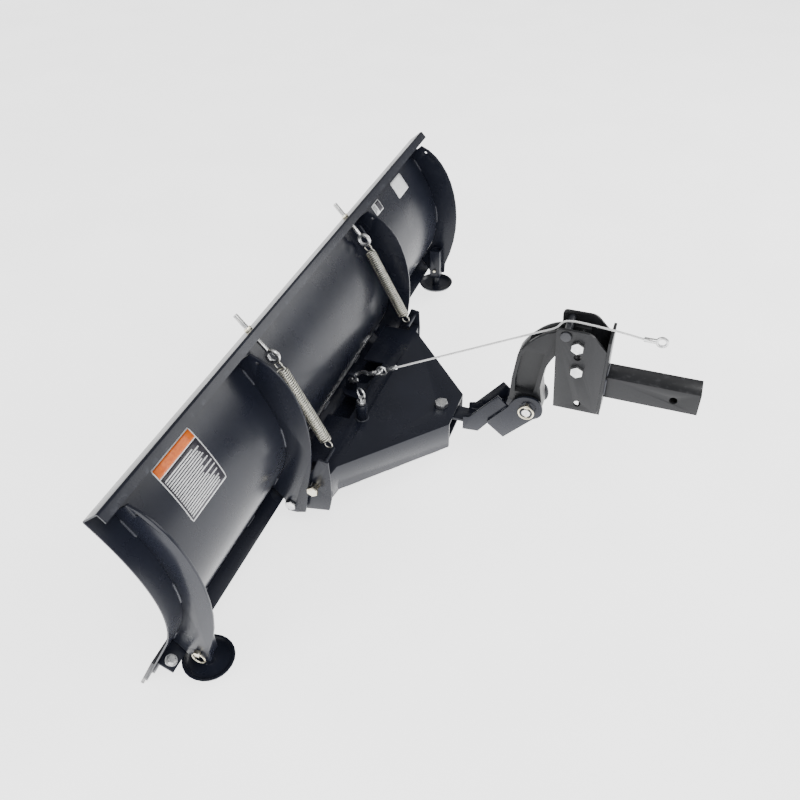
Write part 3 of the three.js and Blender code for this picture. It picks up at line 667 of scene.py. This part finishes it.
def arm_welds():
    """Beads along the index sector's neck in the channel and along each cheek's edge."""
    sector_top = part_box("index_sector")[1].z / MM - ORIGIN_Z + 0.5
    beads = []
    for side in (-1, 1):
        x = side * (NECK_HALF + 0.3)
        beads.append((straight(place(x, 402, sector_top), place(x, 426, sector_top)), 2.0))
        x = side * (CHEEK_INNER_X + 0.2)
        for start, end in (((466, -265), (476, -252)), ((484, -242), (494, -229))):
            beads.append((straight(place(x, *start), place(x, *end)), 1.8))
    weld_piece("arm_welds", beads, "push_arm")


def mount_welds():
    """Beads round the receiver shank's end on the mount's rear web."""
    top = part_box("receiver_shank")[1].z / MM - ORIGIN_Z
    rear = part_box("mount_web_rear")[1].y / MM - ORIGIN_Y + PROUD
    edge = SHANK / 2 + PROUD
    beads = []
    for side in (-1, 1):
        x = side * edge
        beads.append((straight(place(x, rear, top - 4), place(x, rear, top - 46)), 2.4))
    beads.append((straight(place(-22, rear, top + PROUD), place(22, rear, top + PROUD)), 2.4))
    weld_piece("mount_welds", beads, "mount")


blade_welds()
angle_welds()
pan_welds()
housing_weld()
arm_welds()
mount_welds()


# ---- Fasteners' fine detail: washers and threads ----
THREAD_PITCH = 1.5
THREAD_STEPS = 16
RIDGE = 0.42
EYE_WASHER_R = 11
EYE_WASHER = 0.28
ANGLE_BOLT = (742, 55.5, -379.3)


def disc(centre, axis, outer, inner, thickness, vertices, faces, sides=28):
    """A washer with chamfered rims about axis, starting at centre."""
    first = axis.orthogonal().normalized()
    second = axis.cross(first)
    chamfer = thickness * 0.25
    section = [(inner, 0), (outer - chamfer, 0), (outer, chamfer), (outer, thickness - chamfer),
               (outer - chamfer, thickness), (inner, thickness)]
    base = len(vertices)
    for k in range(sides):
        angle = 2 * math.pi * k / sides
        spoke = first * math.cos(angle) + second * math.sin(angle)
        for radius, height in section:
            vertices.append(centre + spoke * radius + axis * height)
    count = len(section)
    for k in range(sides):
        for j in range(count):
            a = base + k * count + j
            b = base + k * count + (j + 1) % count
            c = base + ((k + 1) % sides) * count + (j + 1) % count
            d = base + ((k + 1) % sides) * count + j
            faces.append((a, b, c, d))


def thread(start, axis, length, radius, vertices, faces):
    """A screw thread: a thin helical ridge round a shank."""
    first = axis.orthogonal().normalized()
    second = axis.cross(first)
    steps = int(length / THREAD_PITCH * THREAD_STEPS)
    path = []
    for i in range(steps + 1):
        angle = 2 * math.pi * i / THREAD_STEPS
        spoke = first * math.cos(angle) + second * math.sin(angle)
        path.append(start + axis * (length * MM * i / steps) + spoke * radius * MM)
    sweep(path, lambda i: RIDGE * MM, 4, vertices, faces)


def eye_bolt_threads():
    """Threads above and below the flange on each eye bolt, and a washer under each nut."""
    up = Vector((0, -TOP_DIRECTION[0], -TOP_DIRECTION[1]))
    for name, side in SIDES:
        def on_bolt(height):
            return place(side * EYE_X, *along(FLANGE_MIDDLE, (up.y, up.z), height))

        vertices, faces = [], []
        thread(on_bolt(11), up, EYE_THREAD - 12.5, EYE_WIRE - 0.1, vertices, faces)
        thread(on_bolt(-34), up, 25, EYE_WIRE - 0.1, vertices, faces)
        threads = add_mesh(f"eye_bolt_thread_{name}", vertices, faces)
        finish_piece(threads, ROPE, "blade")
        vertices, faces = [], []
        for offset, turn in ((0.05, 1), (-SHEET - 0.05, -1)):
            sizes = EYE_WASHER_R * MM, (EYE_WIRE + 0.6) * MM, EYE_WASHER * MM
            disc(on_bolt(offset), up * turn, *sizes, vertices, faces)
        washers = add_mesh(f"eye_bolt_washers_{name}", vertices, faces)
        finish_piece(washers, YELLOW_ZINC, "blade")


eye_bolt_threads()


def angle_end_bolts():
    """A hex bolt at each end of the bottom angle, standing square on its flat leg."""
    up = Vector((0, -FOOT_DIRECTION[0], -FOOT_DIRECTION[1])).normalized()
    for name, side in SIDES:
        vertices, faces = [], []
        centre = place(side * ANGLE_BOLT[0], *ANGLE_BOLT[1:])
        disc(centre, up, 12 * MM, 1 * MM, 1.6 * MM, vertices, faces)
        disc(centre + up * 1.5 * MM, up, 9.5 * MM, 0.5 * MM, 6.5 * MM, vertices, faces, sides=6)
        piece = add_mesh(f"angle_end_bolt_{name}", vertices, faces, smooth=False)
        finish_piece(piece, ZINC, "blade")


angle_end_bolts()


# ---- Labels: plain panels that lie on the curl, with generic bars and no lettering ----
CURL_STEPS = 400


def curl_table():
    """(distance down the curl, t) pairs."""
    rows = [(0.0, 0.0)]
    run = 0.0
    last = curl(0)
    for i in range(1, CURL_STEPS + 1):
        t = i / CURL_STEPS
        point = curl(t)
        run += math.hypot(point[0] - last[0], point[1] - last[1])
        rows.append((run, t))
        last = point
    return rows


CURL_ROWS = curl_table()


def t_at(run):
    """The curl's t at a distance down from the top bend."""
    for (r0, t0), (r1, t1) in zip(CURL_ROWS, CURL_ROWS[1:]):
        if r0 <= run <= r1:
            return t0 + (t1 - t0) * (run - r0) / (r1 - r0)
    return 1.0


def label_patch(x0, x1, run0, run1, lift, vertices, faces, corner=0.0):
    """A thin patch on the curl, from x0 to x1 across and run0 to run1 down, with cut corners."""
    base = len(vertices)
    rows = max(2, int((run1 - run0) / 6) + 2)
    columns = 6
    for i in range(rows):
        run = run0 + (run1 - run0) * i / (rows - 1)
        edge = corner if i in (0, rows - 1) else 0.0
        for j in range(columns):
            x = x0 + edge + (x1 - x0 - 2 * edge) * j / (columns - 1)
            vertices.append(place(x, *curl(t_at(run), lift)))
    for i in range(rows - 1):
        for j in range(columns - 1):
            a = base + i * columns + j
            faces.append((a, a + columns, a + columns + 1, a + 1))


FILM_LIFT = 0.12
FILM_STEP = 0.1
FILM_THICKNESS = 0.08


def label(name, layers):
    """layers: (material, [patches]); each layer lies a little above the last."""
    for number, (material, patches) in enumerate(layers):
        vertices, faces = [], []
        for patch in patches:
            label_patch(*patch[:4], FILM_LIFT + FILM_STEP * number, vertices, faces, *patch[4:])
        piece = add_mesh(f"{name}_{number + 1}", vertices, faces)
        solid = piece.modifiers.new("film", "SOLIDIFY")
        solid.thickness = FILM_THICKNESS * MM
        solid.offset = 1
        finish_piece(piece, material, "blade")


def bars(x0, x1, run0, run1, count, thickness):
    """Plain bars of uneven length that run down the curl, side by side."""
    patches = []
    for i in range(count):
        x = x0 + (x1 - x0) * (i + 0.5) / count
        share = 0.62 + 0.38 * abs(math.sin(i * 2.3 + 0.7))
        patches.append((x - thickness / 2, x + thickness / 2, run0, run0 + (run1 - run0) * share))
    return patches


BIG_LABEL = (497, 616, 29, 151)
HEADER = 22
BORDER = 2.5
MARGIN = 6
ROW_COUNT = 17
ROW_HALF = 1.3


def big_label():
    """A white-edged panel with an orange header and rows of plain bars."""
    x0, x1, top, foot = BIG_LABEL
    rows = []
    for i in range(ROW_COUNT):
        run = top + HEADER + 8 + (foot - top - HEADER - 14) * (i + 0.5) / ROW_COUNT
        share = 0.7 + 0.3 * abs(math.sin(i * 1.7 + 0.4))
        length = (x1 - x0 - 2 * MARGIN) * share
        rows.append((x1 - MARGIN - length, x1 - MARGIN, run - ROW_HALF, run + ROW_HALF))
    label("panel_label", [
        (WHITE_VINYL, [(x0, x1, top, foot, 2.0)]),
        (BLACK_VINYL, [(x0 + BORDER, x1 - BORDER, top + HEADER + 2, foot - BORDER)]),
        (ORANGE_VINYL, [(x0 + BORDER, x1 - BORDER, top + BORDER, top + HEADER)]),
        (WHITE_VINYL, rows),
    ])


def small_labels():
    """A blank white label, and a small tag with a dark block and four bars."""
    label("blank_label", [(WHITE_VINYL, [(-604, -531, 33, 81, 1.5)])])
    label("tag_label", [
        (WHITE_VINYL, [(-440, -393, 33, 62, 1.0)]),
        (BLACK_VINYL, [(-438, -416, 35, 60)]),
        (BLACK_VINYL, bars(-412, -396, 38, 57, 4, 2.0)),
    ])


big_label()
small_labels()


# ---- The end of the pull pin's spring, between its housing and its collar ----
PIN_COIL_R = 7.6
PIN_COIL_WIRE = 0.5
PIN_COIL_HEIGHT = 0.8
PIN_COIL_STEPS = 28


def pull_pin_spring():
    low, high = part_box("pull_pin_housing")
    path = []
    for i in range(PIN_COIL_STEPS + 1):
        angle = 4 * math.pi * i / PIN_COIL_STEPS
        x = (low.x + high.x) / 2 + PIN_COIL_R * MM * math.cos(angle)
        y = (low.y + high.y) / 2 + PIN_COIL_R * MM * math.sin(angle)
        rise = PIN_COIL_HEIGHT * (1 + i / PIN_COIL_STEPS)
        path.append(Vector((x, y, high.z + rise * MM)))
    vertices, faces = [], []
    sweep(path, lambda i: PIN_COIL_WIRE * MM, 6, vertices, faces)
    finish_piece(add_mesh("pull_pin_spring", vertices, faces), ZINC, "swivel_frame")


pull_pin_spring()


# ---- Floor and light: a bright floor under a dim ceiling, so that the lower curve shines ----
FLOOR_GLOW = 2.4
FLOOR_HALF = 40.0
SKY = 0.45
LIGHTS = (
    ("key", (1.6, 1.2, 3.0), (0, -0.6, 0), (2.4, 2.4), 95),
    ("side", (3.0, -1.6, 1.2), (0.2, -0.6, -0.1), (1.6, 2.4), 45),
    ("rear", (-2.2, 1.8, 1.6), (0, -0.6, -0.1), (2.0, 1.6), 50),
)


def make_floor():
    low = CAD_BOX[0][2] - 0.5 * MM
    corners = [(x * FLOOR_HALF, y * FLOOR_HALF, low) for x, y in ((-1, -1), (1, -1), (1, 1), (-1, 1))]
    floor = add_mesh("floor", corners, [(0, 1, 2, 3)], smooth=False)
    material, tree, shader = new_material("pale_floor")
    pale = ramp(tree, noise(tree, 3, 3), (0.90, 0.90, 0.90), (0.93, 0.93, 0.93))
    tree.links.new(pale, shader.inputs["Base Color"])
    tree.links.new(pale, shader.inputs["Emission Color"])
    shader.inputs["Emission Strength"].default_value = FLOOR_GLOW
    shader.inputs["Roughness"].default_value = 0.9
    floor.data.materials.append(material)


def area_light(name, spot, target, size, power):
    data = bpy.data.lights.new(name, "AREA")
    data.shape = "RECTANGLE"
    data.size, data.size_y = size
    data.energy = power
    light = bpy.data.objects.new(name, data)
    light.location = spot
    light.rotation_euler = (Vector(target) - Vector(spot)).to_track_quat("-Z", "Y").to_euler()
    bpy.context.collection.objects.link(light)


def make_light():
    world = bpy.data.worlds.new("studio")
    world.use_nodes = True
    background = world.node_tree.nodes["Background"]
    background.inputs["Color"].default_value = (1.0, 1.0, 1.0, 1)
    background.inputs["Strength"].default_value = SKY
    bpy.context.scene.world = world
    for row in LIGHTS:
        area_light(*row)


make_floor()
make_light()
